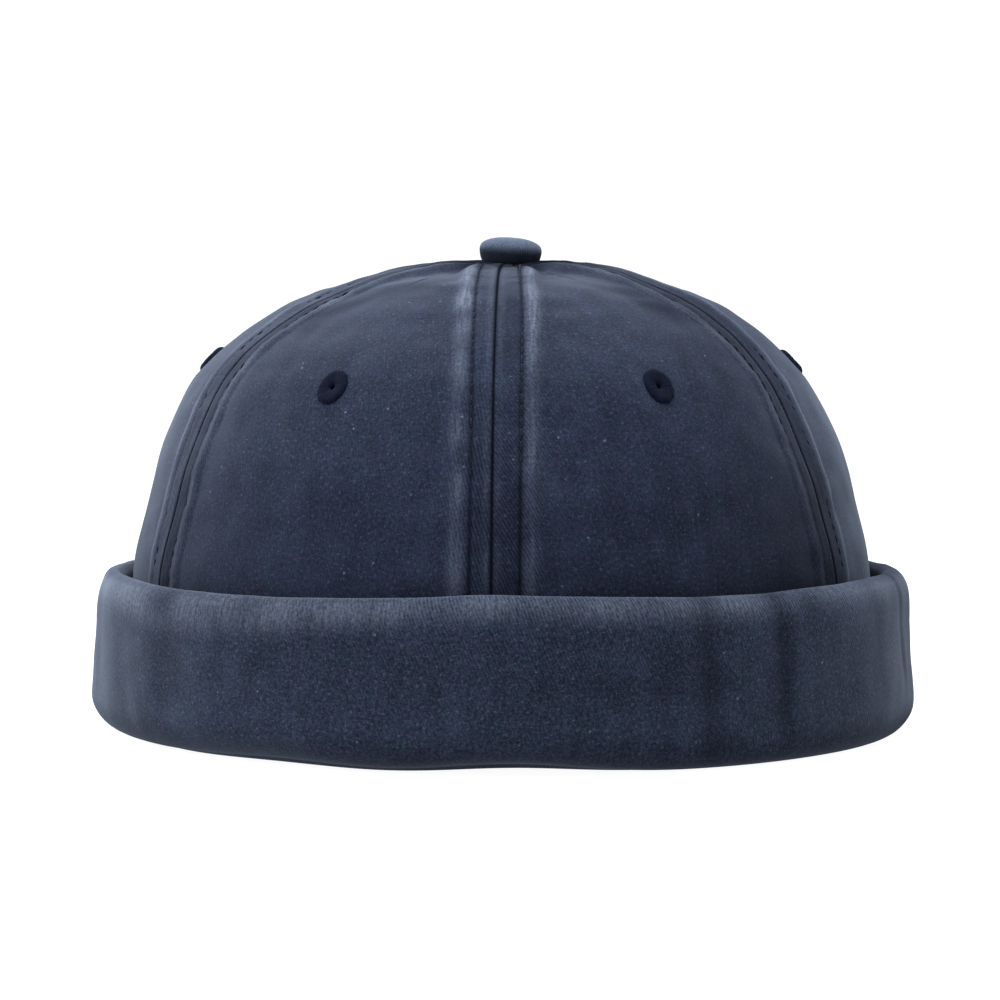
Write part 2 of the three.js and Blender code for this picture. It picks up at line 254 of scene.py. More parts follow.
class Shade:
    """An output of a node. Sums on it become Math nodes, and node() adds any other kind."""

    def __init__(self, tree, socket=None):
        self.tree, self.socket = tree, socket

    def node(self, kind, inputs=None, output=0, **settings):
        made = self.tree.nodes.new(kind)
        for name, value in settings.items():
            setattr(made, name, value)
        for key, value in (inputs or {}).items():
            socket = self.find(made.inputs, key)
            if isinstance(value, Shade):
                self.tree.links.new(value.socket, socket)
            else:
                socket.default_value = value
        return Shade(self.tree, None if output is None else self.find(made.outputs, output))

    @staticmethod
    def find(sockets, key):
        if isinstance(key, int):
            return sockets[key]
        named = [s for s in sockets if s.identifier == key]
        return (named or [s for s in sockets if s.name == key and s.enabled])[0]

    def other(self, output):
        return Shade(self.tree, self.find(self.socket.node.outputs, output))

    def maths(self, operation, *values):
        return self.node("ShaderNodeMath", dict(enumerate([self, *values])), operation=operation)

    __add__ = __radd__ = functools.partialmethod(maths, "ADD")
    __sub__ = functools.partialmethod(maths, "SUBTRACT")
    __mul__ = __rmul__ = functools.partialmethod(maths, "MULTIPLY")
    __truediv__ = functools.partialmethod(maths, "DIVIDE")
    __pow__ = functools.partialmethod(maths, "POWER")
    sine = functools.partialmethod(maths, "SINE")
    cosine = functools.partialmethod(maths, "COSINE")

    def __rsub__(self, value):
        return self.node("ShaderNodeMath", {0: value, 1: self}, operation="SUBTRACT")

    def then(self, kind, inputs=None):
        """The next step of a geometry."""
        return self.node(kind, {"Geometry": self, **(inputs or {})})

    def store(self, name, value, kind, domain):
        """The geometry with a value kept on it by name."""
        kept = {"Geometry": self, "Name": name, "Value": value}
        return self.node("GeometryNodeStoreNamedAttribute", kept, data_type=kind, domain=domain)

    def held(self):
        """Kept from 0 to 1."""
        return self.node("ShaderNodeClamp", {"Value": self})

    def step(self, low, high):
        """0 below low, 1 above high and smooth in between."""
        limits = {"Value": self, "From Min": low, "From Max": high}
        return self.node("ShaderNodeMapRange", limits, interpolation_type="SMOOTHSTEP")

    def mix(self, first, second):
        """A colour between two, at this share of the way."""
        ends = {"Factor_Float": self, "A_Color": first, "B_Color": second}
        return self.node("ShaderNodeMix", ends, "Result_Color", data_type="RGBA")

    def vector(self, **parts):
        """The vector with these of X, Y and Z, and 0 for the rest."""
        return self.node("ShaderNodeCombineXYZ", parts)

    def part(self, name):
        """X, Y or Z of a vector."""
        return self.node("ShaderNodeSeparateXYZ", {0: self}, name)

    def object_place(self):
        return self.node("ShaderNodeTexCoord", output="Object")

    def relief(self, metres):
        """The normal of a surface with this height times a length."""
        return self.node("ShaderNodeBump", {"Distance": metres, "Height": self}, "Normal")

    def noise(self, place, per_metre, detail=2, roughness=0.5, distortion=0.0):
        looks = {"Scale": per_metre, "Detail": detail, "Roughness": roughness, "Distortion": distortion}
        return self.node("ShaderNodeTexNoise", {"Vector": place, **looks})


def new_material(name, **constants):
    """A material with a plain shader whose constants are set, the shader and a start for its nodes."""
    material = bpy.data.materials.new(name)
    material.use_nodes = True
    shader = next(n for n in material.node_tree.nodes if n.type == "BSDF_PRINCIPLED")
    for socket, value in constants.items():
        shader.inputs[socket.replace("_", " ")].default_value = value
    return material, shader, Shade(material.node_tree)


def wear_finish(material, shader, colours):
    """Links what changes over the surface to the shader."""
    for socket, value in colours.items():
        material.node_tree.links.new(value.socket, shader.inputs[socket])


def navy_twill(name, deep, blue, green, pale, line_depth, nap_depth, contrast):
    """Washed and brushed cotton twill: steep diagonal lines, blurred by a nap that catches the light."""
    sheen = {"Sheen_Weight": 0.15, "Sheen_Roughness": 0.42, "Sheen_Tint": (0.66, 0.78, 1.0, 1)}
    material, shader, start = new_material(name, Specular_IOR_Level=0.03, **sheen)
    cloth = start.node("ShaderNodeUVMap", uv_map="cloth")
    across = cloth.part("X")
    along = across.other("Y")
    wear, dark, weave, rub = (
        start.node("ShaderNodeAttribute", output="Fac", attribute_name=mark)
        for mark in ("wear", "dark", "weave", "rub")
    )

    drift = start.noise(cloth, 60)
    grain = start.noise(cloth, 1200, 3, 0.66)
    fuzz = start.noise(cloth, 2700, 1)
    blotch = start.noise(cloth, 42, 3, 0.55)
    patch = start.noise(cloth, 170)
    hue = start.noise(cloth, 260, 3, 0.6)
    hairs = start.noise(start.vector(X=across, Y=along * 0.3), 1900, 2, 0.6)
    streaks = start.noise(start.vector(X=across, Y=along * 0.12), 230)
    rubbed = start.noise(start.vector(X=rub, Y=along * 0.07), 1300, 2, 0.6)

    # The twill: leaning lines a pitch apart, each crossed by its yarns
    line_pitch, yarn_pitch = 0.74 * mm, 0.62 * mm
    lean = (across * 0.92 + along * 0.39) / line_pitch + drift * 2.4
    lines = (lean * full_turn).sine() * 0.5 + 0.5
    yarns = ((along / yarn_pitch + lean * 0.5) * full_turn).sine() * 0.5 + 0.5
    woven = lines * (0.72 + 0.28 * yarns)
    clear = (weave * (0.35 + 1.3 * patch)).held()

    # How each kind of unevenness counts in the tone, from the finest to the widest
    tone = (grain - 0.5) * (1.2 * contrast) + (fuzz - 0.5) * (0.7 * contrast)
    tone = tone + (hairs - 0.5) * (0.45 * contrast)
    tone = tone + (blotch - 0.5) * 0.55 + (patch - 0.5) * (0.35 * contrast) + (streaks - 0.5) * 0.35
    tone = (tone + (woven - 0.45) * clear * 0.9 + 0.54).held() ** 1.6
    middle = hue.step(0.36, 0.64).mix(blue, green)
    colour = tone.mix(deep, middle)
    worn = (wear * (0.45 + 0.55 * rubbed.step(0.36, 0.64)) * (0.6 + 0.8 * grain.step(0.3, 0.7))).held()
    colour = worn.mix(colour, pale)

    # Lint: a few round specks and many faint flecks
    speck = start.node("ShaderNodeTexVoronoi", {"Vector": cloth, "Scale": 290}, "Distance")
    chance = start.node("ShaderNodeSeparateColor", {"Color": speck.other("Color")}, "Red")
    colour = ((1 - speck.step(0.05, 0.11)) * chance.step(0.5, 1.0) * 0.8).mix(colour, pale)
    flecks = start.noise(cloth, 1250, 2, 0.6).step(0.56, 0.74)
    colour = (flecks * (0.27 * contrast)).mix(colour, pale)

    height = woven * clear * line_depth + grain * nap_depth + fuzz * (nap_depth * 0.4)
    normal = height.relief(1.0)
    rough = 0.86 + 0.12 * grain
    wear_finish(material, shader, {"Base Color": colour, "Roughness": rough, "Normal": normal})

    # Where the cloth is marked dark a dull dark shader without sheen takes over, so that the dark seams and
    # the painted shade stay dark at grazing angles too
    plain = {"Base Color": (0.0022, 0.0028, 0.0055, 1), "Roughness": 0.95, "Specular IOR Level": 0.0}
    dull = start.node("ShaderNodeBsdfPrincipled", {**plain, "Normal": normal})
    napped = Shade(material.node_tree, shader.outputs["BSDF"])
    mixed = start.node("ShaderNodeMixShader", {0: (dark * 0.93).held(), 1: napped, 2: dull})
    material.node_tree.links.new(mixed.socket, material.node_tree.nodes["Material Output"].inputs["Surface"])
    return material


crown_cloth = navy_twill(
    "crown_cloth",
    deep=(0.0031, 0.0043, 0.0093, 1),
    blue=(0.0210, 0.0252, 0.0530, 1),
    green=(0.0173, 0.0275, 0.0484, 1),
    pale=(0.072, 0.086, 0.122, 1),
    line_depth=0.00007,
    nap_depth=0.00005,
    contrast=1.0,
)

eyelet_hole, eyelet_dip = 2.7, 0.3

# Where a panel's points lie: close together at its seams and their stitches, wider apart in its middle
half_columns = spaced(0.0, seam_zone, lambda c: 0.18 + 0.34 * smooth_step(min(c, abs(c - 5.4) - 0.8), 0, 1.5))
middle_shares = 1 - spaced(0, 42, lambda c: 0.7 + 1.5 * smooth_step(c, 4, 12))[::-1] / 42


def panel_rows():
    """How far up the crown a panel's rows lie, as shares: wide apart where the cuff hides them."""
    hidden_spacing, spacing = 2.4, 0.86
    top = np.interp(-panel_top, -meridian[:, 0], meridian_along)
    rows = spaced(0, top, lambda up: hidden_spacing + (spacing - hidden_spacing) * smooth_step(up, 18, 30))
    return rows / meridian_length


def seam_speed(seam, rises):
    """How many mm a radian is along the crown, beside a seam."""
    return on_meridian(rises)[0] * math.hypot(math.cos(seam), rim_y / rim_x * math.sin(seam))


def panel_columns(middle, rises):
    """Directions of a panel's points, row by row from its right-hand seam to its left-hand one, and their
    distances from the nearer seam as they would be on a full width."""
    sides = []
    for side in (1, -1):
        seam = middle + side * sector / 2
        speed = seam_speed(seam, rises)
        half = speed * sector / 2
        squeeze = np.minimum(1, half / tight_half)
        keep = 5.6
        tail = np.minimum(1, (half / squeeze - 0.3 - keep) / (seam_zone - keep))[:, None]
        place = np.where(half_columns < keep, half_columns, keep + (half_columns - keep) * tail)
        turns = seam - side * place * squeeze[:, None] / speed[:, None]
        inner = turns[:, -1:] + (middle - turns[:, -1:]) * middle_shares[None, 1:]
        across = np.broadcast_to(half_columns, turns.shape)
        far = seam_zone + (half[:, None] - seam_zone).clip(0) * middle_shares[None, 1:]
        sides.append((np.hstack([turns, inner]), np.hstack([across, far])))
    (right, right_across), (left, left_across) = sides
    turns = np.hstack([right, left[:, -2::-1]])
    across = np.hstack([right_across, left_across[:, -2::-1]])
    return turns, across


def beside_seam(index, across, along):
    """For a panel's points, which of the six seams is nearer, how far off its stitches run on their side
    of it, and a place that belongs to that seam alone, for what is uneven along it."""
    near_end = np.arange(across.shape[1])[None, :] < across.shape[1] // 2
    seam = (index + near_end) % 6
    row = stitch_row(seam, ~near_end, along)
    place = np.stack([np.where(near_end, -across, across), along, seam * 400.0 + 0 * along], -1)
    return seam, row, place


def panel_lift(spot, across, along, seam, row, place):
    """The lie of a panel's cloth: seam bands, stitch puckers and the soft swells of washed cotton."""
    near_top = smooth_step(along, meridian_length - 42, meridian_length - 12)
    thick_top = 0.35 * near_top * fade(across, row + 1, row + 4.5)
    lift = seam_lift(across, row, row_pull[seam]) + thick_top
    drawn = bump_at(across, row, 2.6)
    lift = lift + 0.08 * drawn * unevenness(place * [0.4, 1, 1], 5.5, 11)
    lift = lift + 0.06 * bump_at(across, row, 0.9) * np.cos(full_turn * along / stitch_pitch)
    beside = smooth_step(across, 7.5, 10) * fade(across, 15, 26)
    lift = lift + 0.12 * beside * unevenness(place * [0.45, 1, 1], 10, 31)
    hollow = smooth_step(across, 8, 12) * bump_at(along, meridian_length - 24, 13)
    lift = lift - 0.9 * hollow
    swell = 0.24 * unevenness(spot, 34, 5) + 0.07 * unevenness(spot, 11, 6)
    return lift + swell * smooth_step(along, 25, 55)


def panel_wear(across, along, reach, seam, row, place):
    """How pale washing wore a panel: along the ridge outside each row of stitches; less round the button,
    where the panel is painted shade.
    """
    left_side = place[..., 0] < 0
    patchy = 0.7 + 0.25 * unevenness(place * [0.4, 1, 1], 14, 71)
    high = smooth_step(along, 72, 112)
    ridge = row + np.where(seam == 0, np.where(left_side, 2.9 - 0.8 * high, 2.3), 2.8)
    strength = np.where(seam == 0, 0.38 + np.where(left_side, 0.55, 0.38) * high, 0.3 + 0.3 * high)
    wear = bump_at(across, ridge, np.where(left_side, 1.9, 1.6)) * strength
    wear = wear + np.where(left_side, 0.3, 0.2) * bump_at(across, 1.3, 0.7)
    # Less pale round the button, which keeps the painted shade there dark
    return (wear * patchy * (1 - 0.6 * fade(reach, 10, 34))).clip(0, 1)


def panel_dark(index, turns, spot, across, along, reach, seam, row, place):
    """How dark a panel is marked: dark in its grooves and along its stitches, darker on the seam bands, and
    painted shade round the button, low down by the cuff, in its hollows and on the front panels towards the
    side seams.
    """
    left_side = place[..., 0] < 0
    band = fade(across, row - 0.5, row + 0.7)
    dark = bump_at(across, 0, 0.32) + row_dark[seam] * bump_at(across, row, 0.5)
    dark = dark + band_dark[seam, 1 * left_side] * band + 0.14 * bump_at(across, row + 0.9, 0.7)
    # Painted shade round the foot of the button, and low down where the cuff shades the crown
    dark = dark + 0.6 * fade(reach, 10, 34) + 0.2 * fade(along, 40, 76)
    # Painted shade in stripes across the hollows of the front panels, on the left and on the right
    level = bump_at(spot[..., 1], -42, 5.5) * smooth_step(spot[..., 2], 90, 97)
    left_shade = smooth_step(-spot[..., 0], 8, 15) * fade(-spot[..., 0], 40, 54)
    right_shade = bump_at(spot[..., 0], 36, 8)
    # Painted shade on the front panels towards the side seams, deeper on the right
    far_right, far_left = bump_at(turns, math.radians(58), 0.32), bump_at(turns, math.radians(302), 0.3)
    shade = {0: 0.42 * far_right, 5: 0.16 * far_left}
    dark = dark + level * (0.36 * left_shade + 0.35 * right_shade) + shade.get(index, 0) * (1 - 0.7 * band)
    return dark.clip(0, 1)


def panel_eyelet(direction, height):
    """The middle of a panel's eyelet, and the ways across the cloth, up along it and out of it there."""
    rise = np.interp(crown_foot + height * (crown_top - crown_foot), meridian[:, 1], meridian_along)
    rise = np.array(rise / meridian_length)
    turn = np.array(direction)
    facing = crown_facing(turn, rise)
    upward = full_crown(turn, rise + facing_step) - full_crown(turn, rise - facing_step)
    upward = upward - (upward @ facing) * facing
    upward = upward / np.linalg.norm(upward)
    return crown_point(turn, rise, np.array(0.0)), np.cross(upward, facing), upward, facing


def make_panel(index, name, middle, eyelet_turn, eyelet_height, stretch):
    rises = panel_rows()
    turns, across = panel_columns(middle, rises)
    rise = rises[:, None] + 0 * turns
    along = rise * meridian_length
    spot = full_crown(turns, rise)
    seam, row, place = beside_seam(index, across, along)
    lift = panel_lift(spot, across, along, seam, row, place)
    centre, sideways, upward, facing = panel_eyelet(eyelet_turn, eyelet_height)
    bare = crown_point(turns, rise, 0 * turns)
    apart = np.hypot((bare - centre) @ sideways, (bare - centre) @ upward / stretch)
    flat = bump_at(apart, 0, 6.5)
    lift = lift * (1 - flat) - eyelet_dip * flat

    # The inner face lies a wall further in, and further still under the allowances
    reach = on_meridian(rise)[0]
    allowance = 0.45 * fade(across, 7.6, 8.2) * smooth_step(reach, 8, 14)
    outer = crown_point(turns, rise, lift)
    inner = crown_point(turns, rise, -crown_wall - allowance - eyelet_dip * flat)

    # The hole: points inside its edge go, and those left round it are drawn to the edge
    in_hole = apart < eyelet_hole
    shut = ~(in_hole[:-1, :-1] | in_hole[1:, :-1] | in_hole[:-1, 1:] | in_hole[1:, 1:])
    kept = np.zeros_like(in_hole)
    first, last = slice(None, -1), slice(1, None)
    for rows, columns in ((first, first), (last, first), (first, last), (last, last)):
        kept[rows, columns] |= shut
    all_shut = shut[:-1, :-1] & shut[1:, :-1] & shut[:-1, 1:] & shut[1:, 1:]
    edge = kept & (apart < eyelet_hole + 3) & ~np.pad(all_shut, 1, constant_values=True)
    for layer in (outer, inner):
        from_middle = layer[edge] - centre
        height, side, up = from_middle @ facing, from_middle @ sideways, from_middle @ upward
        drawn = eyelet_hole / np.hypot(side, up / stretch)
        layer[edge] = centre + np.stack([side * drawn, up * drawn, height], 1) @ [sideways, upward, facing]

    # The wall: the outer cloth, the inner cloth and the edges that join them
    rows, columns = turns.shape
    rings = np.concatenate([outer, inner[:, ::-1]], 1)
    corners = loft(rings, False)
    ring, around = corners[..., 0], corners[..., 1] % (2 * columns)
    column = np.where(around < columns, around, 2 * columns - 1 - around)
    is_cloth = column.min(1) != column.max(1)
    gone = is_cloth & ~shut[ring.min(1), np.minimum(column.min(1), columns - 2)]
    faces = (ring * 2 * columns + around)[~gone]
    place_of = np.stack([ring, column], -1)[~gone]

    def inside_of(corner):
        """The point of the inner cloth that lies under one of the outer cloth's."""
        return corner[0], 2 * columns - 1 - corner[1]

    edges = []
    for end, order in ((0, 1), (rows - 1, -1)):
        for c in range(columns - 1):
            one, two = (end, c), (end, c + 1)
            corner = [one, two, inside_of(two), inside_of(one)]
            edges.append((corner[::order], [one, two, two, one][::order]))
    for r, c in np.argwhere(~shut).tolist():
        beside = (
            (r, c - 1, (r, c), (r + 1, c)), (r, c + 1, (r + 1, c + 1), (r, c + 1)),
            (r - 1, c, (r, c + 1), (r, c)), (r + 1, c, (r + 1, c), (r + 1, c + 1)),
        )
        for next_row, next_column, one, two in beside:
            if shut[next_row, next_column]:
                edges.append(([one, two, inside_of(two), inside_of(one)], [one, two, two, one]))
    numbers = [[r * 2 * columns + p for r, p in corner] for corner, _ in edges]
    faces = np.vstack([faces, numbers])
    place_of = np.concatenate([place_of, [places for _, places in edges]])

    # The cloth's map and marks, and the points that its faces use
    widths = np.cumsum(np.linalg.norm(np.diff(bare, axis=1), axis=-1), axis=1)
    widths = np.hstack([np.zeros((rows, 1)), widths])
    widths = widths - widths[:, columns // 2 : columns // 2 + 1]
    cloth = np.stack([index * 0.3 - widths * mm, along * mm], -1)
    cloth = cloth[place_of[..., 0], place_of[..., 1]]
    low_band = fade(across, row + 3, row + 7) * fade(along, 50, 110)
    wear = panel_wear(across, along, reach, seam, row, place)
    dark = panel_dark(index, turns, spot, across, along, reach, seam, row, place)
    weave = 0.12 + 0.42 * low_band
    layers = {"wear": (wear, 0 * wear), "dark": (dark, 0 * dark), "weave": (weave, 0.5 + 0 * weave)}
    layers["rub"] = (across * mm, across * mm)
    used = np.unique(faces)
    again = np.zeros(rings.shape[0] * rings.shape[1], int)
    again[used] = np.arange(len(used))
    marks = {
        mark: np.concatenate([outside, inside[:, ::-1]], 1).ravel()[used]
        for mark, (outside, inside) in layers.items()
    }
    points = rings.reshape(-1, 3)[used]
    return make_piece(f"cloth_{name}", points, again[faces][:, ::-1], cloth[:, ::-1], marks, crown_cloth)


for number, (name, turn, eyelet_turn, eyelet_height, proud, stretch) in enumerate(panels):
    panel = make_panel(number, name, math.radians(turn), math.radians(eyelet_turn), eyelet_height, stretch)
    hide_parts(f"panel_{name}")

# Topstitching: one row of navy cotton thread down each side of every seam, sewn through the allowance.
# The stitches have sunk into the groove that they pull, with the thread rising a little in each one.
stitch_length, thread_width = 2.35, 0.36


def new_base(name, lines, marks=()):
    """Lines of points as a mesh of bare edges, from which a tree of nodes grows a piece."""
    mesh = bpy.data.meshes.new(name)
    starts = np.cumsum([0, *[len(line) for line in lines]])
    edges = [(i, i + 1) for start, line in zip(starts, lines) for i in range(start, start + len(line) - 1)]
    mesh.from_pydata((np.vstack(lines) * mm).tolist(), edges, [])
    for mark, values in dict(marks).items():
        mesh.attributes.new(mark, "FLOAT_VECTOR", "POINT").data.foreach_set("vector", values.ravel())
    return new_object(name, mesh)


def grow(base, sizes, build):
    """Grows a piece from its base by a tree of nodes with these named inputs, and makes it a plain mesh."""
    tree = bpy.data.node_groups.new(base.name, "GeometryNodeTree")
    tree.interface.new_socket("Base", in_out="INPUT", socket_type="NodeSocketGeometry")
    kinds = {float: "NodeSocketFloat", int: "NodeSocketInt", bpy.types.Material: "NodeSocketMaterial"}
    named = {
        size: tree.interface.new_socket(size, in_out="INPUT", socket_type=kinds[type(value)]).identifier
        for size, value in sizes.items()
    }
    tree.interface.new_socket("Piece", in_out="OUTPUT", socket_type="NodeSocketGeometry")
    entry = Shade(tree).node("NodeGroupInput")
    shape = build(entry)
    shape = shape.then("GeometryNodeRealizeInstances").then("GeometryNodeSetShadeSmooth")
    shape = shape.then("GeometryNodeSetMaterial", {"Material": entry.other("Material")})
    shape.node("NodeGroupOutput", {0: shape}, None)
    modifier = base.modifiers.new("grow", "NODES")
    modifier.node_group = tree
    for size, value in sizes.items():
        modifier[named[size]] = value
    graph = bpy.context.evaluated_depsgraph_get()
    mesh = bpy.data.meshes.new_from_object(base.evaluated_get(graph), depsgraph=graph)
    base.modifiers.remove(modifier)
    base.data = mesh
    return base


def thread_finish(name, colour, worn, sheen):
    """Twisted cotton thread: fine bands along it, a little paler where it was rubbed."""
    sheen = {"Sheen_Weight": sheen, "Sheen_Roughness": 0.4, "Sheen_Tint": (0.6, 0.7, 0.95, 1)}
    material, shader, start = new_material(name, Specular_IOR_Level=0.03, **sheen)
    place = start.object_place()
    rub = start.noise(place, 700, 3, 0.6)
    twist = start.noise(place, 3200, 1)
    colour = (rub.step(0.42, 0.7) * 0.7 + (twist - 0.5) * 0.4).held().mix(colour, worn)
    rough = 0.75 + rub * 0.2
    wear_finish(material, shader, {"Base Color": colour, "Roughness": rough, "Normal": twist.relief(0.00008)})
    return material


seam_thread = thread_finish("seam_thread", (0.004, 0.0055, 0.012, 1), (0.015, 0.019, 0.034, 1), 0.08)


def round_thread(entry, curve, scale=1.0):
    """A curve as a round thread with closed ends."""
    half = entry.other("Thread width") * 0.5
    circle = entry.node("GeometryNodeCurvePrimitiveCircle", {"Resolution": 6, "Radius": half})
    swept = {"Curve": curve, "Profile Curve": circle, "Scale": scale, "Fill Caps": True}
    return entry.node("GeometryNodeCurveToMesh", swept)


def uneven_threads(entry, points, thread, turned, smallest, largest):
    """A thread at every point, turned as it lies there, each one a little different in size."""
    sizes = {"Min": smallest, "Max": largest, "Seed": entry.other("Seed")}
    uneven = entry.node("FunctionNodeRandomValue", sizes, data_type="FLOAT_VECTOR")
    placed = {"Points": points, "Instance": thread, "Rotation": turned, "Scale": uneven}
    return entry.node("GeometryNodeInstanceOnPoints", placed)


def stitches(entry):
    line = entry.node("GeometryNodeMeshToCurve", {"Mesh": entry})
    pitched = {"Curve": line, "Length": entry.other("Pitch")}
    line = line.node("GeometryNodeResampleCurve", pitched, mode="LENGTH")
    along = entry.node("GeometryNodeInputTangent")
    facing = entry.node("GeometryNodeInputNamedAttribute", {"Name": "facing"}, data_type="FLOAT_VECTOR")
    axes = {"Primary Axis": along, "Secondary Axis": facing}
    turned = entry.node("FunctionNodeAxesToRotation", axes, primary_axis="X", secondary_axis="Z")
    half = entry.other("Stitch length") * 0.5
    dip = entry.other("Thread width") * -0.9
    bow = {
        "Resolution": 6,
        "Start": entry.vector(X=half * -1, Z=dip),
        "Middle": entry.vector(Z=entry.other("Thread width") * 1.3),
        "End": entry.vector(X=half, Z=dip),
    }
    thread = round_thread(entry, entry.node("GeometryNodeCurveQuadraticBezier", bow))
    return uneven_threads(entry, line, thread, turned, (0.9, 0.85, 0.8), (1.08, 1.1, 1.1))


# The rows end under the button's rim, and those of the two front side seams are sunk deeper
row_lines, row_facings = [], []
row_rises = np.linspace(0.01, 1 - 9.5 / meridian_length, 220)
for number in range(6):
    for side in (1, -1):
        seam = math.radians(60 * number)
        speed = seam_speed(seam, row_rises)
        squeeze = np.minimum(1, speed * sector / 2 / tight_half)
        row = stitch_row(number, side > 0, row_rises * meridian_length)
        turns = seam + side * row * squeeze / speed
        lift = seam_lift(row, row, row_pull[number]) + (-0.2 if number in (1, 5) else 0.02)
        row_lines.append(crown_point(turns, row_rises, lift))
        row_facings.append(crown_facing(turns, row_rises))
topstitching = grow(
    new_base("topstitching", row_lines, {"facing": np.vstack(row_facings)}),
    {
        "Pitch": stitch_pitch * mm, "Stitch length": stitch_length * mm, "Thread width": thread_width * mm,
        "Seed": 4, "Material": seam_thread,
    },
    stitches,
)
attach(topstitching, "root")

# Eyelets: a punched hole in each panel, bound all round with dark thread in a close satin stitch.
# Every thread runs from the cloth over the rim, through the hole and back under the cloth.
eyelet_radius, eyelet_narrowing, satin_width, thread_count = 4.0, 0.88, 0.68, 58

# One thread's course: distance from the middle of the hole and height over the cloth
thread_path = [
    (4.05, -0.25), (3.9, 0.12), (3.5, 0.36), (3.0, 0.44), (2.3, 0.42), (1.6, 0.36), (1.0, 0.2), (0.65, -0.2),
    (0.6, -0.8), (0.8, -1.5), (1.3, -2.0), (1.9, -2.3), (2.5, -2.4), (3.0, -2.35), (3.5, -2.2),
    (3.9, -1.9), (4.05, -1.5),
]
eyelet_thread = thread_finish("eyelet_thread", (0.0022, 0.0035, 0.0095, 1), (0.0040, 0.0064, 0.0162, 1), 0.02)


def satin_stitch(entry):
    path = entry.node("GeometryNodeMeshToCurve", {"Mesh": entry})
    place = entry.node("GeometryNodeInputPosition")
    thread = round_thread(entry, path, place.part("X") / entry.other("Radius"))
    threads = entry.node("GeometryNodePoints", {"Count": entry.other("Threads")})
    number = entry.node("GeometryNodeInputIndex")
    limits = {"Min_001": -0.15, "Max_001": 0.15, "Seed": entry.other("Seed")}
    shake = entry.node("FunctionNodeRandomValue", limits, "Value_001", data_type="FLOAT")
    turned = entry.vector(Z=(number + shake) / entry.other("Threads") * full_turn)
    return uneven_threads(entry, threads, thread, turned, (0.97, 0.95, 0.94), (1.02, 1.2, 1.04))


for number, (name, turn, eyelet_turn, eyelet_height, proud, stretch) in enumerate(panels):
    domed = [z * (1 + (proud - 1) * (1 - 0.3 * (x - 1.6))) if z > 0 else z for x, z in thread_path]
    path = np.array([(x, 0, z) for (x, _), z in zip(thread_path, domed)])
    eyelet = grow(
        new_base(f"satin_eyelet_{name}", [path]),
        {
            "Radius": eyelet_radius * mm, "Thread width": satin_width * mm, "Threads": thread_count,
            "Seed": 20 + number, "Material": eyelet_thread,
        },
        satin_stitch,
    )
    centre, sideways, upward, facing = panel_eyelet(math.radians(eyelet_turn), eyelet_height)
    seat = (centre - facing * eyelet_dip) * mm
    stood = np.eye(4)
    stood[:3] = np.stack([sideways * eyelet_narrowing, upward * stretch, facing, seat], 1)
    eyelet.data.transform(Matrix(stood.tolist()))
    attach(eyelet, "root")
    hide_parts(f"eyelet_{name}")

# Button: a domed metal disc covered in the crown's twill, whose cloth is gathered under its rim.
# Its steel post runs down through the point where the panels meet, to a flat head inside the crown.
button_radius, button_height = 7.55, 5.7
button_lean_right, button_lean_forward = math.radians(4), math.radians(3)
button_place = Vector((crown_lean - 0.3, 0, 111.05))

# Its outline from the middle of its underside to the middle of its top, as shares of its radius and height
button_round = [
    (0, 0.4), (0.22, 0.4), (0.23, 0.0), (0.5, -0.14), (0.74, -0.15), (0.88, -0.06), (0.95, 0.1),
    (0.985, 0.28), (1, 0.46), (0.985, 0.59), (0.93, 0.71), (0.81, 0.82), (0.65, 0.905), (0.45, 0.965),
    (0.22, 0.993), (0, 1),
]

brushed_steel, steel_shader, start = new_material("post_steel", Metallic=1.0)
place = start.object_place()
brushing = start.noise(place, 900, 4, 0.6, 0.3)
steel = brushing.mix((0.42, 0.42, 0.43, 1), (0.62, 0.62, 0.63, 1))
steel_looks = {"Base Color": steel, "Roughness": 0.28 + brushing * 0.2, "Normal": brushing.relief(0.00003)}
wear_finish(brushed_steel, steel_shader, steel_looks)
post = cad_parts["button_post"]
post.data.materials.clear()
post.data.materials.append(brushed_steel)

# The crown's twill painted lighter all over: a painted highlight for the light from above on the button's top
button_cloth = navy_twill(
    "button_cloth",
    deep=(0.014, 0.019, 0.033, 1),
    blue=(0.052, 0.066, 0.108, 1),
    green=(0.047, 0.069, 0.103, 1),
    pale=(0.068, 0.081, 0.113, 1),
    line_depth=0.00003,
    nap_depth=0.00003,
    contrast=0.6,
)
button_line, button_along = smooth_line(np.array(button_round) * [button_radius, button_height], 12)
button_shares = button_along[:: len(button_line) // (len(button_round) - 1)] / button_along[-1]


def profile_curve(entry, share, column, low, high):
    """The button's outline as a curve: one column of its table against the share of the way up it."""
    made = entry.node("ShaderNodeFloatCurve", {"Value": share})
    curve = made.socket.node.mapping.curves[0]
    rows = [(place, (row[column] - low) / (high - low)) for place, row in zip(button_shares, button_round)]
    curve.points[0].location, curve.points[1].location = rows[0], rows[-1]
    for place, value in rows[1:-1]:
        curve.points.new(place, value)
    made.socket.node.mapping.update()
    return made * (high - low) + low


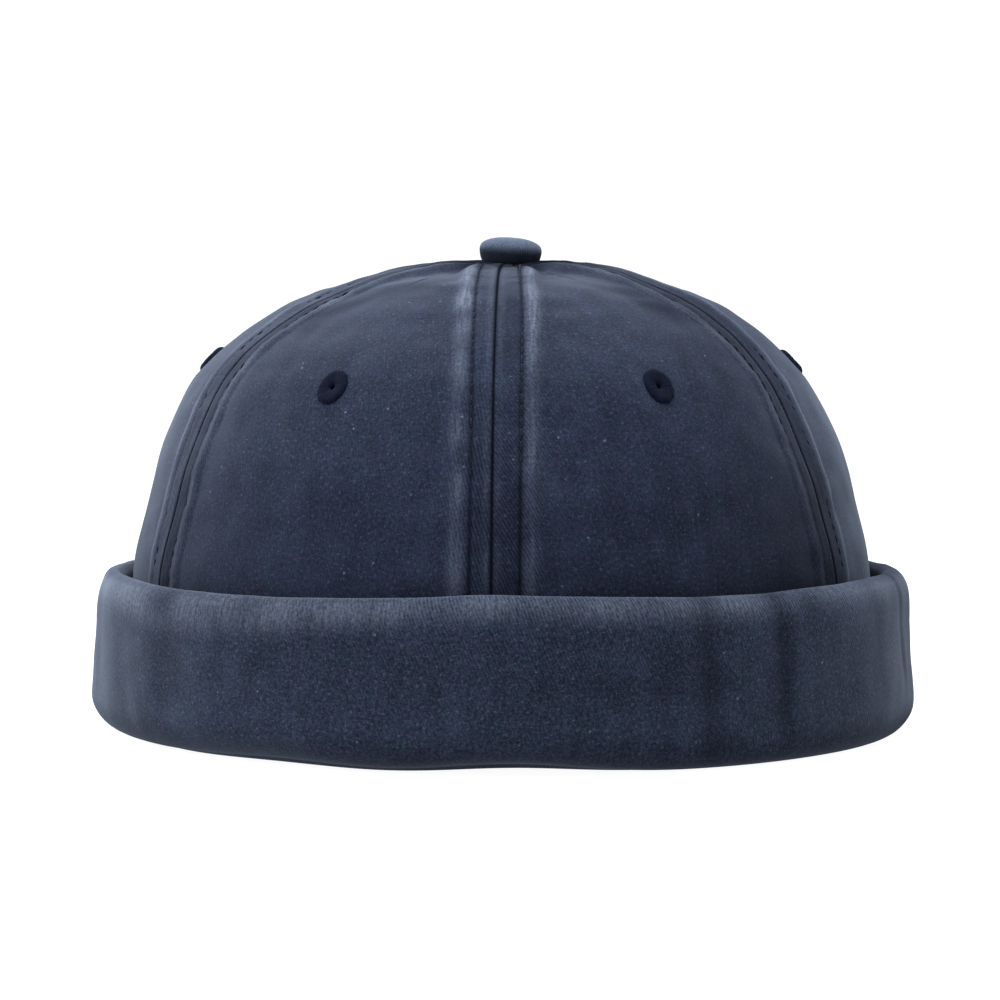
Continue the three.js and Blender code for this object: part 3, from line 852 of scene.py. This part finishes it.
def covered_disc(entry):
    grid = entry.node(
        "GeometryNodeMeshGrid", {"Size X": 1.0, "Size Y": 1.0, "Vertices X": 145, "Vertices Y": 64}
    )
    around = entry.node("GeometryNodeInputPosition").part("X")
    share = around.other("Y") + 0.5
    turn = around * full_turn
    down = (1 - share) * entry.other("Cloth reach")
    cloth = entry.vector(X=down * turn.cosine(), Y=down * turn.sine())
    shape = grid.store("cloth", cloth, "FLOAT2", "CORNER")
    below = 1 - share.step(0.2, 0.36)
    fold = (turn * entry.other("Gathers") + (turn * 3).sine() * 1.4).sine()
    reach = profile_curve(entry, share, 0, 0, 1) * entry.other("Radius")
    reach = reach * (1 - below * (fold * 0.5 + 0.5) * entry.other("Gather depth"))
    up = profile_curve(entry, share, 1, -0.2, 1) * entry.other("Height")
    point = entry.vector(X=reach * turn.cosine(), Y=reach * turn.sine(), Z=up)
    shape = shape.then("GeometryNodeSetPosition", {"Position": point})
    shape = shape.then("GeometryNodeMergeByDistance", {"Distance": 0.000004})
    place = entry.node("GeometryNodeInputPosition").part("X")
    # Painted shade over the button's lower half, under the light from above
    low = 1 - (place.other("Z") / entry.other("Height")).step(0.3, 0.68)
    for mark, value in (("weave", 0.4), ("wear", 0.25), ("rub", place), ("dark", low * 0.84)):
        shape = shape.store(mark, value, "FLOAT", "POINT")
    return shape


button = grow(
    new_base("covered_button", [np.zeros((1, 3))]),
    {
        "Radius": button_radius * mm, "Height": button_height * mm, "Gathers": 26.0, "Gather depth": 0.05,
        "Cloth reach": float(button_along[-1]) * mm, "Material": button_cloth,
    },
    covered_disc,
)
leaning = Matrix.Rotation(button_lean_right, 4, "Y") @ Matrix.Rotation(button_lean_forward, 4, "X")
button.data.transform(Matrix.Translation(button_place * mm) @ leaning)
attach(button, "root")
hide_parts("top_button")

# Cuff: one long band of the same twill, doubled over at its top into a soft fold, rolled round at its foot
# and turned in under the crown's edge. Handling has worn the fold pale, so that the twill shows there; its
# paleness is also partly a painted highlight, strongest at the left end.
cuff_wall, cuff_stand_off, cuff_fold, cuff_flare, cuff_roll = 1.6, 2.4, 5.8, 2.2, 8
cuff_hem, cuff_inner_foot, seat_edge, hem_gap = 12, 10, 0.9, 0.6

# Where the cuff is uneven: direction and spread in degrees, then as shares of its fold how far it swells
# out, with minus for a dent, and how far its top and its foot stand higher
cuff_waves = [
    (-86, 22, -0.08, 0, 0), (-112, 27, 0, -0.3, 0), (112, 27, 0, -0.32, 0), (-46, 24, 0.02, -0.13, 0.1),
    (-27, 15, 0.08, 0, 0.14), (2, 15, -0.04, 0.2, 0.2), (28, 5, -0.06, -0.05, 0), (39, 5, -0.06, -0.08, 0),
    (54, 14, 0.24, 0.02, 0), (118, 12, -0.1, 0.08, 0.05), (152, 9, 0.1, 0, 0), (214, 12, -0.1, -0.1, 0.1),
    (245, 9, 0.08, 0, 0),
]

# Soft upright creases: direction and width in degrees, lower and upper end in mm, depth in mm
cuff_creases = [
    (-74, 2.6, 10, 34, 0.07), (-48, 2.6, 10, 26, 0.06), (28.5, 1.5, 4, 33, 0.24), (39.8, 1.3, 6, 37, 0.3),
    (60, 2.4, 5, 30, 0.1), (73, 1.2, 12, 37, 0.16),
    (120, 2, 6, 34, 0.4), (163, 1.8, 10, 34, 0.3), (205, 2, 6, 34, 0.4), (238, 1.6, 12, 36, 0.35),
]


def arc(x, y, radius, start, end, steps):
    angle = np.radians(np.linspace(start, end, steps + 1))
    return np.stack([x + radius * np.cos(angle), y + radius * np.sin(angle)], 1)


def cuff_middle_line():
    """The middle of the cuff's cloth from its hidden hem, round the foot and over the fold to its end."""
    half, outer = cuff_wall / 2, cuff_stand_off + cuff_fold + cuff_flare
    fold_height = cuff_height - cuff_fold / 2
    hem = -crown_wall - hem_gap
    top = cuff_height - half
    shoulder, crest = (outer - half - 1.0, 25.5), cuff_stand_off + cuff_fold * 0.42
    free = cuff_stand_off + half
    bend = np.radians(np.linspace(0, 90, 15))[1:]
    top_bend = np.stack([
        crest + (shoulder[0] - crest) * np.cos(bend) ** 0.8,
        shoulder[1] + (top - shoulder[1]) * np.sin(bend),
    ], 1)
    inner_bend = np.stack([
        crest - (crest - cuff_stand_off - half) * np.sin(bend[1::2]),
        fold_height - 1 + (top - fold_height + 1) * np.cos(bend[1::2]),
    ], 1)

    def straight(start, end, steps):
        return np.linspace(start, end, steps + 1)[:-1]

    return np.vstack([
        straight((hem - half, cuff_hem), (hem - half, cuff_wall), 5),
        arc(hem, cuff_wall, half, 180, 270, 3),
        straight((hem + 0.6, half), (seat_edge, half), 3),
        straight((seat_edge, half), (outer - cuff_roll, half), 2),
        arc(outer - cuff_roll, cuff_roll, cuff_roll - half, 270, 360, 12),
        straight((outer - half, cuff_roll), shoulder, 16)[1:],
        [shoulder],
        top_bend,
        inner_bend,
        straight((free, fold_height - 1), (free, cuff_inner_foot), 12)[1:],
        [(free, cuff_inner_foot)],
    ])


def thicken(line, thickness):
    """The cloth's outline: its outer face, then its inner face the other way."""
    along = np.gradient(line, axis=0)
    along /= np.linalg.norm(along, axis=1, keepdims=True)
    outward = np.stack([along[:, 1], -along[:, 0]], 1) * thickness / 2
    return np.vstack([line + outward, (line - outward)[::-1]])


def cuff_wave(turn, column):
    total = 0 * turn
    for row in cuff_waves:
        total = total + row[column] * bump_at(degrees_apart(turn, row[0]), 0, row[1])
    return cuff_fold * total


def cuff_points(turn, section):
    """The cuff's points at directions in degrees, a ring of the section for each."""
    x, y = section[None, :, 0], section[None, :, 1]
    turn = turn[:, None]

    # The waves, which the seat under the crown's edge doesn't share
    loose = smooth_step(x, seat_edge, cuff_stand_off)
    high = smooth_step(y, cuff_roll, cuff_height)
    out = x + cuff_wave(turn, 2) * loose * smooth_step(y, 0, cuff_roll)
    up = y + loose * (high * cuff_wave(turn, 3) + (1 - high) * cuff_wave(turn, 4))
    angle = np.radians(turn)
    facing = np.stack([np.sin(angle) / rim_x, -np.cos(angle) / rim_y], -1)
    facing = facing / np.linalg.norm(facing, axis=-1, keepdims=True)

    # Soft swells of the outer face and of the fold's top, and the fold's fuller shoulder on the right
    outside = smooth_step(x, cuff_stand_off + 2.5, cuff_stand_off + 4.5) * smooth_step(y, 1.5, 7)
    place = np.stack([100 * np.sin(angle) + 0 * x, 100 * np.cos(angle) + 0 * x, y * 0.8 + 0 * angle], -1)
    out = out + outside * (0.16 * unevenness(place, 24, 91) + 0.035 * unevenness(place, 8, 92))
    out = out + 0.9 * bump_at(np.abs(turn), 93, 22) * bump_at(y, 34, 4.5) * outside
    up = up + 0.06 * high * loose * unevenness(place * [1, 1, 0], 18, 93)

    # The foot: drawn in a hair at its middle, fuller at the far right, squarer on the right, arched in front
    foot_curve = np.sin(math.pi * (y / (cuff_roll + 2)).clip(0, 1))
    foot_curve = foot_curve * smooth_step(x, cuff_stand_off, cuff_stand_off + 3)
    fuller = -0.9 * bump_at(turn, -52, 30)
    out = out + fuller * foot_curve + 0.5 * outside * bump_at(turn, 88, 30) * (1 - y / (0.5 * cuff_height))
    up = up - 0.45 * fuller * foot_curve
    outer, square = cuff_stand_off + cuff_fold + cuff_flare, 1.25 * bump_at(turn, 60, 28)
    beyond = ((x - outer + cuff_roll) / cuff_roll).clip(0, 1)
    below = ((cuff_roll - y) / cuff_roll).clip(0, 1) * (beyond > 0)
    out = out + cuff_roll * (beyond**0.5 - beyond) * square * (below > 0)
    up = up - cuff_roll * (below**0.6 - below) * square
    up = up + front_arch(turn) * fade(y, 4, 22)

    # The creases, each with a low ridge on both sides, and the seam at the centre back
    for middle, width, low, top, depth in cuff_creases:
        apart = degrees_apart(turn, middle)
        ends = smooth_step(y, low - 5, low + 4) * fade(y, top - 4, top + 5)
        ridge = bump_at(apart, width * 1.9, width) + bump_at(apart, -width * 1.9, width)
        out = out + outside * ends * depth * (0.35 * ridge - bump_at(apart, 0, width))
    seam = np.abs((turn % 360) - 180) * math.radians(1) * 100
    out = out - outside * (0.8 * bump_at(seam, 0, 0.45) - 0.25 * bump_at(seam, 1.6, 1.1))
    ring = np.stack([rim_x * np.sin(angle), -rim_y * np.cos(angle)], -1)
    return np.concatenate([ring + out[..., None] * facing, up[..., None]], -1)


cuff_cloth = navy_twill(
    "cuff_cloth",
    deep=(0.0033, 0.0047, 0.0096, 1),
    blue=(0.0245, 0.030, 0.0575, 1),
    green=(0.0205, 0.0322, 0.0525, 1),
    pale=(0.074, 0.088, 0.122, 1),
    line_depth=0.00011,
    nap_depth=0.00006,
    contrast=1.25,
)

cuff_turns = np.arange(560) / 560 * 360
middle_line = cuff_middle_line()
section = thicken(middle_line, cuff_wall - 0.06)
rings = cuff_points(cuff_turns, section)
corners = loft(rings, True)
count, size = rings.shape[:2]
faces = corners[..., 0] % count * size + corners[..., 1] % size
down_cloth = np.concatenate([[0], np.cumsum(np.linalg.norm(np.diff(middle_line, axis=0), axis=1))])
down_cloth = np.concatenate([down_cloth, down_cloth[::-1]])
cloth = np.stack([corners[..., 0] / count * 0.61, down_cloth[corners[..., 1] % size] * mm + 2.0], -1)
turn = degrees_apart(cuff_turns[:, None], 0)
height = rings[..., 2]
outside = np.arange(size)[None, :] < size // 2
past_fold = (np.arange(size) > section[:, 1].argmax())[None, :] * outside
below_top = height.max(1, keepdims=True) - height
band_reach = 4.3 + 3.6 * bump_at(turn, -44, 24)
fold_band = fade(below_top, band_reach - 3.2, band_reach + 3) * outside
# How pale the fold is round the cap: worn by handling, with a painted highlight at its left end, where the
# light from the left falls
worn_and_lit = 0.56 + 0.22 * bump_at(turn, -80, 32) + 0.12 * bump_at(turn, 57, 15)
front = bump_at(turn, 10, 35)
patchy = 0.75 + 0.25 * unevenness(rings, 18, 95)
crease_shade = sum(
    bump_at(degrees_apart(turn, middle), 0, width * 1.3) * depth * smooth_step(height, low - 5, low + 6)
    for middle, width, low, top, depth in cuff_creases
)
marks = {
    "wear": (fold_band * worn_and_lit * (0.45 + 0.55 * smooth_step(below_top, 0.2, 1.8)) * patchy).clip(0, 1),
    "weave": 0.1 + 0.15 * front * smooth_step(height, 12, 27) + fold_band * (0.1 + 0.75 * front),
    # Painted shade in the creases, on the fold's inner face going down against the crown, along the foot, on
    # the right side and a little on the left; the seam at the centre back is a dark joint
    "dark": (
        crease_shade * 1.6
        + 0.5 * bump_at(np.abs(np.abs(turn) - 180) * 1.75, 0, 0.5)
        + 0.9 * past_fold * smooth_step(cuff_height - height, 0.8, 4)
        + 0.42 * fade(height, 1, 9)
        + 0.36 * bump_at(turn, 86, 22)
        + 0.1 * bump_at(turn, -54, 16)
    ).clip(0, 1) * outside,
    "rub": np.radians(turn) * 0.098 + 0 * height,
}
marks = {mark: values.ravel() for mark, values in marks.items()}
cuff = make_piece("turned_cuff", rings.reshape(-1, 3), faces, cloth, marks, cuff_cloth)
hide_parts("cuff")

# Floor and lights: a plain pale floor that glows, apart from a patch under the cap, with a big soft light
# above, one on the left and one behind it on the left
floor_mesh = bpy.data.meshes.new("floor")
floor_mesh.from_pydata([(-6, -6, 0), (6, -6, 0), (6, 6, 0), (-6, 6, 0)], [], [(0, 1, 2, 3)])
floor = new_object("floor", floor_mesh)
pale_floor, floor_shader, start = new_material(
    "pale_floor", Roughness=0.8, Specular_IOR_Level=0.0, Emission_Strength=0.95
)
place = start.object_place()
grain = start.noise(place, 40)
from_middle = start.node("ShaderNodeVectorMath", {0: place}, "Value", operation="LENGTH")
# No glow in a patch under the cap: a painted shadow where the cap shades the floor inside it
beyond_cap = from_middle.step(0.078, 0.084)
grey = grain.mix((0.17, 0.17, 0.17, 1), (0.19, 0.19, 0.19, 1))
glow = beyond_cap.mix((0, 0, 0, 1), (1, 1, 1, 1))
wear_finish(pale_floor, floor_shader, {"Base Color": grey, "Emission Color": glow})
floor_mesh.materials.append(pale_floor)

world = bpy.data.worlds.new("studio")
bpy.context.scene.world = world
bpy.context.scene.view_settings.view_transform = "Standard"
world.use_nodes = True
backdrop = world.node_tree.nodes["Background"]
backdrop.inputs["Color"].default_value = (1, 1, 1, 1)
backdrop.inputs["Strength"].default_value = 1.1

soft_lights = [
    ("above", (0.0, -0.05, 1.1), 0.9, 26),
    ("left", (-1.05, -0.35, 0.4), 0.8, 11),
    ("back_left", (-0.85, 0.8, 0.45), 0.7, 12),
]
for name, place, width, watts in soft_lights:
    lamp = bpy.data.lights.new(f"light_{name}", "AREA")
    lamp.size, lamp.energy = width, watts
    light = new_object(f"light_{name}", lamp)
    light.location = place
    aim(light, (0, 0, 0.06))
